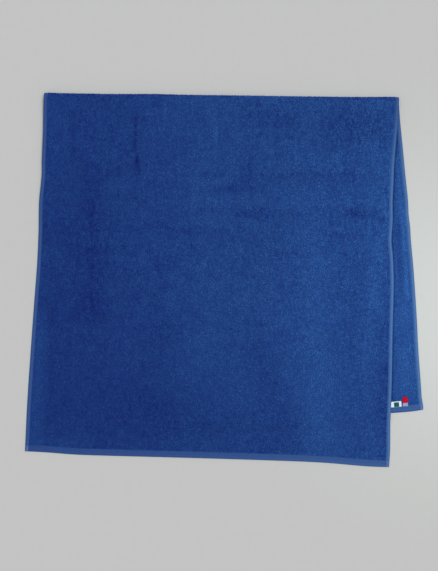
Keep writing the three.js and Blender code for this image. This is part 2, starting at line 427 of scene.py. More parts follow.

# Creases that the front layer kept from its packing: the broad ones first, as the solid
# has them, and then the fine ones. Their shades are painted shade along the troughs and
# painted light along the ridges
CREASES = (
    Crease(((-241, 205), (-241, 85)), 13, -1, -0.05),
    Crease(((-241, 62), (-240, -60)), 16, -0.6, -0.04),
    Crease(((-205, 160), (-200, -40)), 20, 0.6, 0.02),
    Crease(((-160, 300), (-158, 190)), 11, -0.7, -0.04),
    Crease(((47, 222), (43, 180)), 11, -0.6, -0.04),
    Crease(((-215, 160), (-120, 158)), 11, 0.7, 0.03),
    Crease(((-25, 166), (70, 164)), 9, -0.8, -0.08),
    Crease(((-60, 146), (200, 143)), 9, 0.7, 0.06),
    Crease(((200, 143), (285, 140)), 9, 0.9, 0.06),
    Crease(((12, 121), (120, 121)), 9, -0.9, -0.07),
    Crease(((222, 120), (282, 117)), 10, -1, -0.08),
    Crease(((-140, 104), (-54, 89)), 9, -0.8, -0.05),
    Crease(((-54, 89), (20, 82)), 9, -0.8, -0.04),
    Crease(((66, 91), (122, 88)), 9, -0.6, -0.03),
    Crease(((-111, 15), (-110, -120)), 14, -0.5, -0.03),
    Crease(((140, 60), (138, -260)), 34, 0.7),
    Crease(((198, 80), (196, -250)), 28, -1),
    Crease(((282, 60), (275, -230)), 18, 0.6),
    Crease(((-158, 312), (-161, 270), (-161, 236), (-152, 184)), 2.4, -0.4, -0.17, 22),
    Crease(((-161, 256), (-160, 226), (-152, 180)), 2.4, -0.4, -0.12, 20),
    Crease(((-242, 156), (-241, 84)), 6, -0.4, -0.07, 20),
    Crease(((50, 226), (47, 200), (40, 182)), 4, -0.4, -0.16, 16),
    Crease(((-30, 166), (64, 166)), 6, -0.3, -0.06, 26),
    Crease(((8, 118), (83, 119), (146, 117)), 4.2, -0.4, -0.07, 26),
    Crease(((210, 121), (248, 117), (284, 120)), 6, -0.4, -0.14, 20),
    Crease(((-130, 101), (-53, 85), (7, 86), (27, 58)), 3.2, -0.3, -0.07, 16),
    Crease(((64, 88), (124, 86)), 3.2, -0.2, -0.1, 20),
    Crease(((88, 54), (160, 40)), 2.8, -0.2, -0.15, 20),
    Crease(((-15, 288), (-16, 240)), 5, 0.4, 0.18, 16),
)

# Painted light and shade over broad stretches of the front layer, lighter or darker as
# light falls on its soft undulations, with painted shade along the round of the fold.
# They have no height of their own.
PAINTED_BROAD_SHADING = (
    Crease(((-330, 340), (0, 335), (320, 331)), 2.4, 0, -0.24),
    Crease(((-330, 339), (-60, 335)), 3.4, 0, -0.1),
    Crease(((140, 333), (320, 331)), 5, 0, -0.14),
    Crease(((-330, 150), (-338, -80)), 12, 0, 0.06),
    Crease(((-337, -90), (-345, -290)), 16, 0, 0.15),
    Crease(((-312, 320), (-306, 190)), 26, 0, 0.06),
    Crease(((62, 285), (120, 290)), 28, 0, -0.08),
    Crease(((205, 288), (290, 285)), 36, 0, -0.16),
    Crease(((-238, 190), (-236, -80)), 26, 0, -0.03),
    Crease(((-232, 300), (-236, -300)), 100, 0, -0.045),
    Crease(((-250, -20), (-180, -20)), 40, 0, -0.03),
    Crease(((-20, 190), (-24, -120)), 34, 0, 0.03),
    Crease(((60, -130), (100, -250)), 34, 0, -0.09),
    Crease(((164, 62), (168, -300)), 27, 0, 0.09),
    Crease(((190, 180), (206, -120)), 30, 0, -0.05),
    Crease(((232, 290), (240, -300)), 24, 0, -0.06),
    Crease(((302, 70), (294, -320)), 17, 0, -0.13),
    Crease(((280, 78), (276, -45)), 14, 0, 0.1),
    Crease(((278, -165), (282, -265)), 20, 0, -0.09),
    Crease(((-30, 189), (275, 187)), 9, 0, -0.08),
    Crease(((170, 82), (275, 78)), 8, 0, -0.08),
    Crease(((-120, -110), (-118, -290)), 30, 0, -0.05),
    Crease(((-165, -225), (110, -300)), 52, 0, -0.08),
    Crease(((-325, -300), (-270, -300)), 24, 0, 0.08),
)

# Soft rises of the back layer's strip beside the front layer, and its stretches of painted
# light and shade
STRIP_RISES_AND_PAINTED_SHADE = (
    Crease(((335, -20), (345, -190)), 12, 0.8, 0.08),
    Crease(((316.5, 230), (319, 165), (320.5, 130)), 4.5, 0.3, 0.22),
    Crease(((324.5, 125), (327.5, 45), (331.5, -30)), 5.5, 0.4, 0.34),
    Crease(((318, 102), (319.5, 22)), 5.5, -0.2, -0.22),
    Crease(((320.5, 20), (322, -25)), 5, 0, -0.1),
    Crease(((311, 50), (311.5, -95)), 5, 0, 0.09),
    Crease(((322, -52), (323, -84)), 8, 0, 0.1),
    Crease(((325, -130), (328, -205)), 10, 0, 0.13),
)

SIDE_HEM = Hem(
    width=7,
    profile=(
        (0, 0.9), (0.3, 1.5), (0.9, 2.1), (2, 2.45), (3.5, 2.5), (5, 2.3), (5.8, 1.9),
        (6.6, 2.1), (7.4, 1.8),
    ),
    seam=5.8,
)
END_HEM = Hem(
    width=12,
    profile=(
        (0, 0.9), (0.3, 1.5), (0.9, 2.1), (2, 2.4), (4.2, 2.45), (5.8, 2.3),
        (6.6, 1.85), (7.4, 2.05), (8.2, 1.75), (12, 1.8),
    ),
    seam=6.6,
)

# Painted highlight and shade on a hem's weave at distances from its edge, as light falls on
# the hems' rounds: the left hem is lightest down its middle, the right one on the round of
# its edge, the front layer's end hem is nearly even, and the back layer's is dark on its
# edge
LEFT_GLEAM = ((0, 1.05), (2.4, 1.2), (3.4, 1.5), (4.4, 1.5), (5.4, 1), (5.8, 0.8), (7, 0.8))
RIGHT_GLEAM = (
    (0, 0.45), (0.9, 0.65), (1.6, 0.95), (3, 1), (4, 0.7), (5.3, 0.58), (5.8, 0.42), (7, 0.42),
)
END_GLEAM = ((0, 0.6), (3, 0.52), (5.8, 0.45), (6.6, 0.3), (7.4, 0.42), (12, 0.36))
BACK_END_GLEAM = (
    (0, 0.2), (2.5, 0.34), (4.5, 0.52), (5.8, 0.5), (6.6, 0.3), (7.4, 0.45), (12, 0.43),
)


class Side(Enum):
    """Which face of the cloth: the one folded inside, or the one outside."""

    INNER = 0
    OUTER = 1


@dataclass(frozen=True)
class Patch:
    """Places on the cloth, with the cloth's own directions there.

    `along` points towards the back layer's end hem, `across` to the right, and `up`
    away from the cloth. `x` and `y` are the places before the part is centred.
    """

    place: Array
    across: Array
    along: Array
    up: Array
    x: Array
    y: Array


@dataclass(frozen=True)
class FoldedCloth:
    """The hemmed cloth's form. Its loops stand on this and reach the solid's faces.

    A place on it is a share `s` across from the left, and a `run` along it, from the
    front layer's end hem over the fold to the back layer's end hem.
    """

    width: float = 650
    front: Layer = FRONT
    back: Layer = BACK
    ground: float = 1.8
    stack_height: float = 5
    turn_inside: float = 2
    turn_outside: float = 5
    fold_bulge: float = 2
    fold_bulge_reach: float = 26
    hem_settle: float = 1
    hem_settle_reach: float = 12
    hem_settle_share: float = 0.1
    settle_start: float = 3
    settle_end: float = 32
    widen_share: float = 0.4
    probe: float = 0.4
    shift_columns: int = 120
    shift_rows: int = 500
    edge_points: int = 200
    middle_tone: float = 0.452
    # Painted light, growing evenly to the right and upwards, where the light is stronger
    painted_light_across: float = 0.33
    painted_light_along: float = 0.06
    unevenness: float = 0.35
    uneven_cell: float = 5
    uneven_seed: int = 21
    # Painted shade on the loops beside the side hems
    hem_shade: float = 0.04
    hem_shade_reach: float = 2.6
    # Painted light on the back layer's strip, and a painted shadow line under the front layer's
    # edge
    strip_painted_light: float = -0.02
    front_shade: float = 0.5
    front_shade_reach: float = 2.4
    # Painted light on the hems, growing to the right, and painted shade on the side hems near the
    # fold
    middle_gleam: float = 0.64
    gleam_across: float = 0.76
    fold_gleam: float = 0.5
    fold_gleam_reach: float = 100

    @property
    def turn_run(self) -> float:
        """Gives the length of the turn's outer face, half a circle."""
        return math.pi * self.turn_outside

    @property
    def length(self) -> float:
        """Gives the cloth's whole run."""
        return self.front.length + self.turn_run + self.back.length

    @cached_property
    def shift(self) -> Array:
        """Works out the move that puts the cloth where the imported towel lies.

        Returns:
            The move, in all three directions.
        """
        columns = np.linspace(0, 1, self.shift_columns)
        rows = np.linspace(0, self.length, self.shift_rows)
        place = self.raw_place(*np.meshgrid(columns, rows), 1.0)[..., :2].reshape(-1, 2)
        middle = (place.min(0) + place.max(0)) / 2
        low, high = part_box(TOWEL_NODE)
        target = np.array((low + high) / 2)[:2] / MM
        return np.array([*(target - middle), 0])

    def edge_distances(self, s: Array, run: Array) -> tuple[Array, Array]:
        """Gives the distances from the nearer side edge and from the nearer end."""
        from_side = np.minimum(s, 1 - s) * self.width
        return from_side, np.minimum(run, self.length - run)

    def thickness(self, s: Array, run: Array) -> Array:
        """Works out the thickness of the cloth under its loops.

        A hem's profile holds as far as that hem reaches. Where two hems cross, it is
        the thinner of both.

        Args:
            s: Shares across.
            run: Runs along.

        Returns:
            The thickness at each place.
        """
        from_side, from_end = self.edge_distances(s, run)
        side = np.where(from_side < SIDE_HEM.width, SIDE_HEM.thickness(from_side), np.inf)
        end = np.where(from_end < END_HEM.width, END_HEM.thickness(from_end), np.inf)
        hem = np.minimum(side, end)
        return np.where(np.isinf(hem), self.ground, hem)

    def past_back(self, x: Array, y: Array) -> Array:
        """Works out how far a place lies past the back layer's left edge or end hem.

        Args:
            x: Places across.
            y: Places along.

        Returns:
            The distance, below 0 over the back layer.
        """
        back = self.back
        down = (back.fold_left[1] - y) / (back.fold_left[1] - back.end_left[1])
        left = lerp(back.fold_left[0], back.end_left[0], down)
        share = (x - back.end_left[0]) / (back.end_right[0] - back.end_left[0])
        end = lerp(back.end_left[1], back.end_right[1], share) + back.end_edge.off(share)
        return np.maximum(left - x, end - y)

    def front_height(self, x: Array, y: Array, s: Array, t: Array) -> Array:
        """Works out how high the front layer's underside lies.

        Over the back layer it is the stack's height, less a little beside the side
        hems, plus the creases. Past the back layer it settles to the surface. A bell
        curve at the fold adds the bulge of the turn.

        Args:
            x: Places across.
            y: Places along.
            s: Shares across.
            t: Shares from the fold to the end hem.

        Returns:
            The height at each place.
        """
        from_side = np.minimum(s, 1 - s) * self.width
        settled = np.exp(-from_side / self.hem_settle_reach)
        settled = settled * smooth_step(t, 0, self.hem_settle_share)
        stacked = self.stack_height - self.hem_settle * settled
        stacked = stacked + sum(c.rise * c.bell(x, y) for c in CREASES)
        past = self.past_back(x, y)
        held = 1 - smooth_step(past, self.settle_start, self.settle_end)
        from_fold = t * self.front.length / self.fold_bulge_reach
        return np.maximum(0, stacked * held + self.fold_bulge * np.exp(-(from_fold**2)))

    def raw_place(self, s: Array, run: Array, level: float) -> Array:
        """Works out places on the cloth before the part is centred.

        Both layers lie level, and half a circle joins them at the fold. The circle's
        radius grows under the fold, where the cloth reaches the surface.

        Args:
            s: Shares across.
            run: Runs along.
            level: 0 on the inner face, 1 on the outer face.

        Returns:
            One row of three values for each place.
        """
        front, back = self.front, self.back
        thick = self.thickness(s, run)
        lift = np.maximum(0, (self.ground - thick) / 2)

        t = np.clip(1 - run / front.length, 0, 1)
        x, y = front.place(s, t)
        y = y - self.turn_outside * (1 - t)
        low = self.front_height(x, y, s, t) + lift
        on_front = np.stack([x, y, low + level * thick], -1)

        turned = np.clip((run - front.length) / self.turn_run, 0, 1)
        angle = math.pi * (0.5 - turned)
        widened = smooth_step(turned, self.widen_share, 1)
        outside = lerp(self.turn_inside + thick, self.turn_outside, widened)
        radius = outside - (1 - level) * thick
        x, y = front.place(s, np.zeros_like(run))
        on_turn = np.stack(
            [
                x,
                y - self.turn_outside + radius * np.cos(angle),
                self.turn_outside + radius * np.sin(angle),
            ],
            -1,
        )

        t = np.clip((run - front.length - self.turn_run) / back.length, 0, 1)
        x, y = back.place(s, t)
        y = y - self.turn_outside * (1 - t)
        rise = sum(c.rise * c.bell(x, y) for c in STRIP_RISES_AND_PAINTED_SHADE)
        on_back = np.stack([x, y, rise + lift + (1 - level) * thick], -1)

        past_turn = (run > front.length + self.turn_run)[..., None]
        before_turn = (run < front.length)[..., None]
        return np.where(before_turn, on_front, np.where(past_turn, on_back, on_turn))

    def patch(self, s: Array, run: Array, side: Side) -> Patch:
        """Works out places on one face, and the directions of the cloth there.

        The directions come from places a small probe away on both sides.

        Args:
            s: Shares across.
            run: Runs along.
            side: Which face.

        Returns:
            The places and directions.
        """
        level = float(side.value)
        step = self.probe / self.width
        place = self.raw_place(s, run, level)
        across = self.raw_place(s + step, run, level) - self.raw_place(s - step, run, level)
        along = self.raw_place(s, run + self.probe, level)
        along = along - self.raw_place(s, run - self.probe, level)
        across /= np.linalg.norm(across, axis=-1, keepdims=True)
        up = np.cross(across, along)
        up /= np.linalg.norm(up, axis=-1, keepdims=True)
        if side is Side.INNER:
            up = -up
        along = np.cross(up, across)
        return Patch(
            place=place + self.shift,
            across=across,
            along=along,
            up=up,
            x=place[..., 0],
            y=place[..., 1],
        )

    def past_front(self, x: Array, y: Array) -> Array:
        """Gives how far places of the back layer lie to the right of the front layer."""
        down = np.linspace(1, 0, self.edge_points)
        edge_x, edge_y = self.front.place(np.ones_like(down), down)
        return x - np.interp(y, edge_y, edge_x)

    def tone(self, x: Array, y: Array, from_side: Array, side: Side) -> Array:
        """Works out the loops' tone, with its painted light and shade.

        It is a middle value, plus a painted light that slopes evenly to the right and another
        up, plus each mark's painted light or shade times its bell curve, less a painted shade
        beside the side hems. Soft noise makes the marks uneven along their length. The back
        layer's strip is lighter, by its own painted light, apart from a painted shadow line
        under the front layer's edge.

        Args:
            x: Places across.
            y: Places along.
            from_side: Distances from the nearer side edge.
            side: Which face of the cloth.

        Returns:
            The tone, where 0 is the darkest colour of the loops and 1 the lightest.
        """
        marks = (*CREASES, *PAINTED_BROAD_SHADING) if side is Side.OUTER else STRIP_RISES_AND_PAINTED_SHADE
        noise = soft_noise(x, y, self.uneven_cell, self.uneven_seed)
        uneven = 1 + self.unevenness * noise
        tone = self.middle_tone + uneven * sum(mark.shade * mark.bell(x, y) for mark in marks)
        tone = tone + self.painted_light_across * x / self.width + self.painted_light_along * y / self.width
        # Painted shade beside the side hems
        by_hem = (from_side - SIDE_HEM.width) / self.hem_shade_reach
        tone = tone - self.hem_shade * np.exp(-(by_hem**2))
        if side is Side.INNER:
            # Painted light on the strip, and painted shadow under the front layer's edge
            by_front = np.maximum(self.past_front(x, y), 0) / self.front_shade_reach
            tone = tone + self.strip_painted_light - self.front_shade * np.exp(-(by_front**2))
        return tone

    def hem_gleam(self, x: Array, s: Array, run: Array) -> Array:
        """Works out the painted highlight and shade on the hems' weave.

        It is each hem's painted highlight by the distance from the edge, times a painted light
        that slopes straight from the left to the right, and dimmer by a painted shade, a bell
        curve at the fold.

        Args:
            x: Places across.
            s: Shares across.
            run: Runs along.

        Returns:
            The gleam, where 0 is the darkest colour of the weave and 1 the lightest.
        """
        from_side, from_end = self.edge_distances(s, run)
        left = np.interp(from_side, *np.array(LEFT_GLEAM, float).T)
        right = np.interp(from_side, *np.array(RIGHT_GLEAM, float).T)
        front_end = np.interp(from_end, *np.array(END_GLEAM, float).T)
        back_end = np.interp(from_end, *np.array(BACK_END_GLEAM, float).T)
        end = np.where(run > self.length / 2, back_end, front_end)
        by_side = np.where(s < 0.5, left, right)
        from_fold = (run - self.front.length) / self.fold_gleam_reach
        by_side = by_side * (1 - self.fold_gleam * np.exp(-(from_fold**2)))
        gleam = np.where(from_side < SIDE_HEM.width, by_side, end)
        return gleam * (self.middle_gleam + self.gleam_across * x / self.width)


# Finishes


@dataclass(frozen=True)
class Finish:
    """What all finishes share: a matt fibre with a soft sheen."""

    name: str
    roughness: float
    specular: float
    sheen: float
    sheen_colour: str
    sheen_roughness: float

    def material(self) -> Material:
        """Makes the material.

        Returns:
            The new material, with its patterns in place.
        """
        made = bpy.data.materials.new(self.name)
        made.use_nodes = True
        tree = made.node_tree
        shader = tree.nodes["Principled BSDF"]
        shader.inputs["Roughness"].default_value = self.roughness
        shader.inputs["Specular IOR Level"].default_value = self.specular
        shader.inputs["Sheen Weight"].default_value = self.sheen
        shader.inputs["Sheen Tint"].default_value = linear(self.sheen_colour)
        shader.inputs["Sheen Roughness"].default_value = self.sheen_roughness
        for name, socket in self.dress(tree).items():
            tree.links.new(socket, shader.inputs[name])
        return made

    def dress(self, tree: Tree) -> dict[str, Socket]:
        """Adds the finish's patterns, and gives what feeds the shader, by its inputs."""
        raise NotImplementedError

    @staticmethod
    def toned(tree: Tree, number: str, dark: str, light: str) -> Socket:
        """Adds a colour between two that a named number of the mesh calls for.

        Args:
            tree: The material's nodes.
            number: The number's name. It is 0 for the dark colour and 1 for the light.
            dark: The dark colour.
            light: The light colour.

        Returns:
            The output that carries the colour.
        """
        tone = add_node(tree, "Attribute", {"attribute_name": number})
        colours = {"data_type": "RGBA", COLOUR_A: linear(dark), COLOUR_B: linear(light)}
        return add_node(tree, "Mix", colours, {0: tone.outputs["Fac"]}).outputs[MIXED]

    @staticmethod
    def relief(
        tree: Tree,
        pattern: str,
        settings: dict,
        vector: Socket,
        depth: float,
        links: dict | None = None,
    ) -> Socket:
        """Adds a pattern that stands up from the surface.

        Args:
            tree: The material's nodes.
            pattern: The type of the pattern's node.
            settings: The pattern's settings.
            vector: The coordinates that it follows.
            depth: How far it stands up, in millimetres.
            links: What feeds the bump's other inputs.

        Returns:
            The output that carries the surface's direction.
        """
        texture = add_node(tree, pattern, settings, {"Vector": vector})
        feeds = {"Height": texture.outputs["Fac"], **(links or {})}
        bump = add_node(tree, "Bump", {"Distance": depth * MM, "Strength": 1.0}, feeds)
        return bump.outputs["Normal"]


# Twisted cotton yarn in uncut loops, dyed dark blue: matt, with painted shade down between
# the loops, each loop a little lighter or darker than the next, and the cloth's painted
# light and shade in its tone
@dataclass(frozen=True)
class TerryLoops(Finish):
    """Cotton terry, woven with uncut loops."""

    name: str = "cotton terry loops, woven"
    roughness: float = 0.95
    specular: float = 0.03
    sheen: float = 0.03
    sheen_colour: str = "#7fa6e0"
    sheen_roughness: float = 0.5
    dark: str = "#182b8e"
    light: str = "#4683d1"
    # Painted shade towards each loop's root, where the loops shade each other
    painted_root_shade: str = "#cfcfd6"
    fibre: float = 0.7
    fibre_depth: float = 0.15

    def dress(self, tree: Tree) -> dict[str, Socket]:
        """Colours each loop by its own tone, and darkens it towards its root with painted shade.

        Args:
            tree: The material's nodes.

        Returns:
            What feeds the shader, by its inputs.
        """
        root = add_node(tree, "Attribute", {"attribute_name": "root"})
        yarn = self.toned(tree, "tone", self.dark, self.light)
        colour = add_node(
            tree,
            "Mix",
            {"data_type": "RGBA", "blend_type": "MULTIPLY", COLOUR_B: linear(self.painted_root_shade)},
            {0: root.outputs["Fac"], COLOUR_A: yarn},
        )
        place = add_node(tree, "TexCoord").outputs["Object"]
        fibres = {"Scale": noise_scale(self.fibre), "Detail": 2.0}
        normal = self.relief(tree, "TexNoise", fibres, place, self.fibre_depth)
        return {"Base Color": colour.outputs[MIXED], "Normal": normal}


# Plain-woven cotton: in the hems a flat, lighter and greyer weave with fine ribs and a
# painted highlight, and under the loops a darker ground, painted shade between the loops,
# whose mottling stands for the loops out of sight
@dataclass(frozen=True)
class TerryGround(Finish):
    """The towel's ground cloth and its folded, sewn hems."""

    name: str = "cotton ground cloth, plain woven"
    roughness: float = 0.9
    specular: float = 0.08
    sheen: float = 0.05
    sheen_colour: str = "#8fb0e4"
    sheen_roughness: float = 0.5
    # The ground under the loops, painted darker as shade between them
    ground_dark: str = "#13215f"
    ground_light: str = "#2f5da0"
    # The hems' colours, between which their painted highlight and shade run
    hem_dark: str = "#2e498d"
    hem_light: str = "#517db3"
    slub_dark: str = "#d6d6dc"
    slub: float = 4
    rib: float = 1.3
    rib_depth: float = 0.12
    mottle: float = 2.2
    mottle_depth: float = 0.8
    blend: float = 0.5

    def dress(self, tree: Tree) -> dict[str, Socket]:
        """Colours the ground by its tone and the hems by their painted highlight, and ribs the
        hems.

        Args:
            tree: The material's nodes.

        Returns:
            What feeds the shader, by its inputs.
        """
        cloth = add_node(tree, "UVMap", {"uv_map": "Cloth"}).outputs["UV"]

        def hem(distance: str, width: float) -> Socket:
            """Gives 1 within a hem's width of the edge and 0 past it, over a short blend."""
            from_edge = add_node(tree, "Attribute", {"attribute_name": distance})
            blend = {"From Min": width - self.blend, "From Max": width + self.blend}
            fall = {**blend, "To Min": 1.0, "To Max": 0.0}
            return add_node(tree, "MapRange", fall, {"Value": from_edge.outputs["Fac"]}).outputs[0]

        hems = {0: hem("from_side", SIDE_HEM.width), 1: hem("from_end", END_HEM.width)}
        in_hem = add_node(tree, "Math", {"operation": "MAXIMUM"}, hems).outputs[0]
        past_hem = add_node(tree, "Math", {"operation": "SUBTRACT", 0: 1.0}, {1: in_hem}).outputs[0]
        # The ground by its tone, with painted light and shade, and the hems by painted highlight
        plain = add_node(
            tree,
            "Mix",
            {"data_type": "RGBA"},
            {
                0: in_hem,
                COLOUR_A: self.toned(tree, "tone", self.ground_dark, self.ground_light),
                COLOUR_B: self.toned(tree, "gleam", self.hem_dark, self.hem_light),
            },
        )
        spots = {"Scale": noise_scale(self.slub), "Detail": 2.0}
        slubs = add_node(tree, "TexNoise", spots, {"Vector": cloth})
        colour = add_node(
            tree,
            "Mix",
            {"data_type": "RGBA", "blend_type": "MULTIPLY", COLOUR_B: linear(self.slub_dark)},
            {0: slubs.outputs["Fac"], COLOUR_A: plain.outputs[MIXED]},
        )
        ribs = {"Scale": wave_scale(self.rib), "Distortion": 0.6, "Detail": 1.0}
        ribbed = self.relief(tree, "TexWave", ribs, cloth, self.rib_depth, {"Strength": in_hem})
        loops = {"Scale": noise_scale(self.mottle), "Detail": 1.0}
        over_ribs = {"Strength": past_hem, "Normal": ribbed}
        normal = self.relief(tree, "TexNoise", loops, cloth, self.mottle_depth, over_ribs)
        return {"Base Color": colour.outputs[MIXED], "Normal": normal}


# Two-ply polyester sewing thread: a shade lighter than the hems, with a slight gloss, and
# painted sheen on the bar tacks
@dataclass(frozen=True)
class SewingThread(Finish):
    """The thread of the seams and bar tacks."""

    name: str = "polyester thread, twisted"
    roughness: float = 0.55
    specular: float = 0.4
    sheen: float = 0.1
    sheen_colour: str = "#a9b8e8"
    sheen_roughness: float = 0.4
    dark: str = "#24407e"
    light: str = "#6d88c8"

    def dress(self, tree: Tree) -> dict[str, Socket]:
        """Makes each stitch a little lighter or darker, and gives what feeds the shader."""
        return {"Base Color": self.toned(tree, "tone", self.dark, self.light)}


# Damask-woven polyester tape: smooth, with weft ribs just too fine to count, painted shade
# of the weave in random spots, and colours that change at straight lines of the weave
@dataclass(frozen=True)
class LabelTape(Finish):
    """Woven label tape, with one block of another colour woven into it."""

    name: str = "polyester label tape, woven"
    roughness: float = 0.6
    specular: float = 0.35
    sheen: float = 0.1
    sheen_colour: str = "#ffffff"
    sheen_roughness: float = 0.4
    ground: str = "#f2f4f0"
    # Painted shade of the weave, mixed into the ground colour in random spots
    shaded: str = "#dcdfda"
    block: tuple[float, float, float, float, str] = (0, 0, 0, 0, "#ffffff")
    rib: float = 0.6
    rib_depth: float = 0.05

    def dress(self, tree: Tree) -> dict[str, Socket]:
        """Weaves a plain block into the ground colour, and ribs the tape across.

        The block has its left, lower, right and upper edge in millimetres from the
        tape's lower left corner, and its colour.

        Args:
            tree: The material's nodes.

        Returns:
            What feeds the shader, by its inputs.
        """
        tape = add_node(tree, "UVMap", {"uv_map": "Tape"}).outputs["UV"]
        split = add_node(tree, "SeparateXYZ", links={0: tape})
        weave = add_node(tree, "TexNoise", {"Scale": noise_scale(self.rib)}, {"Vector": tape})
        ground = add_node(
            tree,
            "Mix",
            {"data_type": "RGBA", COLOUR_A: linear(self.ground), COLOUR_B: linear(self.shaded)},
            {0: weave.outputs["Fac"]},
        )
        left, low, right, high, paint = self.block
        within = [
            add_node(
                tree,
                "Math",
                {"operation": "COMPARE", 1: (start + end) / 2 * MM, 2: (end - start) / 2 * MM},
                {0: split.outputs[axis]},
            ).outputs[0]
            for axis, (start, end) in enumerate(((left, right), (low, high)))
        ]
        both = add_node(tree, "Math", {"operation": "MULTIPLY"}, {0: within[0], 1: within[1]})
        colour = add_node(
            tree,
            "Mix",
            {"data_type": "RGBA", COLOUR_B: linear(paint)},
            {0: both.outputs[0], COLOUR_A: ground.outputs[MIXED]},
        )
        ribs = {"bands_direction": "Y", "Scale": wave_scale(self.rib), "Distortion": 0.4}
        normal = self.relief(tree, "TexWave", ribs, tape, self.rib_depth)
        return {"Base Color": colour.outputs[MIXED], "Normal": normal}


# Painted board: quite matt, with a very faint unevenness of the roller
@dataclass(frozen=True)
class StudioBoard(Finish):
    """The plain pale ground under the towel."""

    name: str = "painted board, rolled"
    roughness: float = 0.9
    specular: float = 0.1
    sheen: float = 0
    sheen_colour: str = "#ffffff"
    sheen_roughness: float = 0.5
    dark: str = "#c7c8c7"
    light: str = "#cacbca"
    grain: float = 12

    def dress(self, tree: Tree) -> dict[str, Socket]:
        """Mottles the paint very faintly.

        Args:
            tree: The material's nodes.

        Returns:
            What feeds the shader, by its inputs.
        """
        place = add_node(tree, "TexCoord").outputs["Object"]
        grain = add_node(tree, "TexNoise", {"Scale": noise_scale(self.grain)}, {"Vector": place})
        colour = add_node(
            tree,
            "Mix",
            {"data_type": "RGBA", COLOUR_A: linear(self.dark), COLOUR_B: linear(self.light)},
            {0: grain.outputs["Fac"]},
        )
        return {"Base Color": colour.outputs[MIXED]}


# Pieces of the towel


@dataclass(frozen=True)
class Lump:
    """A small closed form with a ridge, like a hipped roof: a loop, or a stitch.

    Its base is `length` by `width` and sinks `sunk` into the cloth. Its ridge is
    `height` over the cloth and `ridge` long.
    """

    length: float
    width: float
    height: float
    ridge: float
    sunk: float

    CORNERS = np.array([(-1, -1), (1, -1), (1, 1), (-1, 1)]) / 2
    QUADS = np.array([(0, 1, 5, 4), (2, 3, 4, 5), (3, 2, 1, 0)])
    TRIANGLES = np.array([(1, 2, 5), (3, 0, 4)])
    POINTS = 6

    # A lump's own cell of its OFBake map: its roof seen from above, with its base in a strip
    # below
    ROOF_MAP = np.array(
        [(0.05, 0.27), (0.95, 0.27), (0.95, 0.97), (0.05, 0.97), (0.35, 0.62), (0.65, 0.62)]
    )
    BASE_MAP = np.array([(0.05, 0.2), (0.95, 0.2), (0.95, 0.04), (0.05, 0.04)])

    def spread_over(
        self,
        name: str,
        patch: Patch,
        yaw: Array,
        scale: Array,
        lean: Array,
        tone: Array,
        material: Material,
    ) -> Object:
        """Makes one mesh with a lump at every place of a patch.

        A point of a lump is its place, plus its own two level distances along the
        turned directions of the cloth, plus its height along the direction away from
        the cloth. Ridge points also move by the lean.

        Args:
            name: The new piece's name.
            patch: Where the lumps stand.
            yaw: How far each is turned, in radians.
            scale: How large each is, as a share of the sizes here.
            lean: Two values for each, how far its ridge stands over across and along.
            tone: How light each is, from 0 to 1.
            material: What they are made of.

        Returns:
            The new piece.
        """
        count = len(yaw)
        cos, sin = np.cos(yaw)[:, None], np.sin(yaw)[:, None]
        lengthways = patch.across * cos + patch.along * sin
        widthways = patch.along * cos - patch.across * sin
        base_x = self.CORNERS[:, 0] * self.length
        base_y = self.CORNERS[:, 1] * self.width
        level_x = np.concatenate([base_x, [-self.ridge / 2, self.ridge / 2]])
        level_y = np.concatenate([base_y, [0, 0]])
        height = np.concatenate([np.full(4, -self.sunk), np.full(2, self.height)])
        is_ridge = height > 0
        sized = scale[:, None, None]
        points = patch.place[:, None, :] + sized * (
            level_x[:, None] * lengthways[:, None, :]
            + level_y[:, None] * widthways[:, None, :]
            + height[:, None] * patch.up[:, None, :]
        )
        lean_by = patch.across * lean[:, :1] + patch.along * lean[:, 1:]
        points = points + is_ridge[:, None] * lean_by[:, None, :]

        first = np.arange(count)[:, None, None] * self.POINTS
        faces = [
            (first + self.QUADS).reshape(-1, 4),
            (first + self.TRIANGLES).reshape(-1, 3),
        ]
        cells = math.ceil(math.sqrt(count))
        number = np.arange(count)
        cell = np.stack([number % cells, number // cells], -1)[:, None, None, :]
        quad_map = np.concatenate([self.ROOF_MAP[self.QUADS[:2]], self.BASE_MAP[None]])
        maps = [
            ((cell + quad_map) / cells).reshape(-1, 4, 2),
            ((cell + self.ROOF_MAP[self.TRIANGLES]) / cells).reshape(-1, 3, 2),
        ]
        return make_mesh_object(
            name,
            points.reshape(-1, 3),
            faces,
            material,
            {
                "root": np.tile(1 - is_ridge, count),
                "tone": np.repeat(np.clip(tone, 0, 1), self.POINTS),
            },
            {"OFBake": maps},
        )


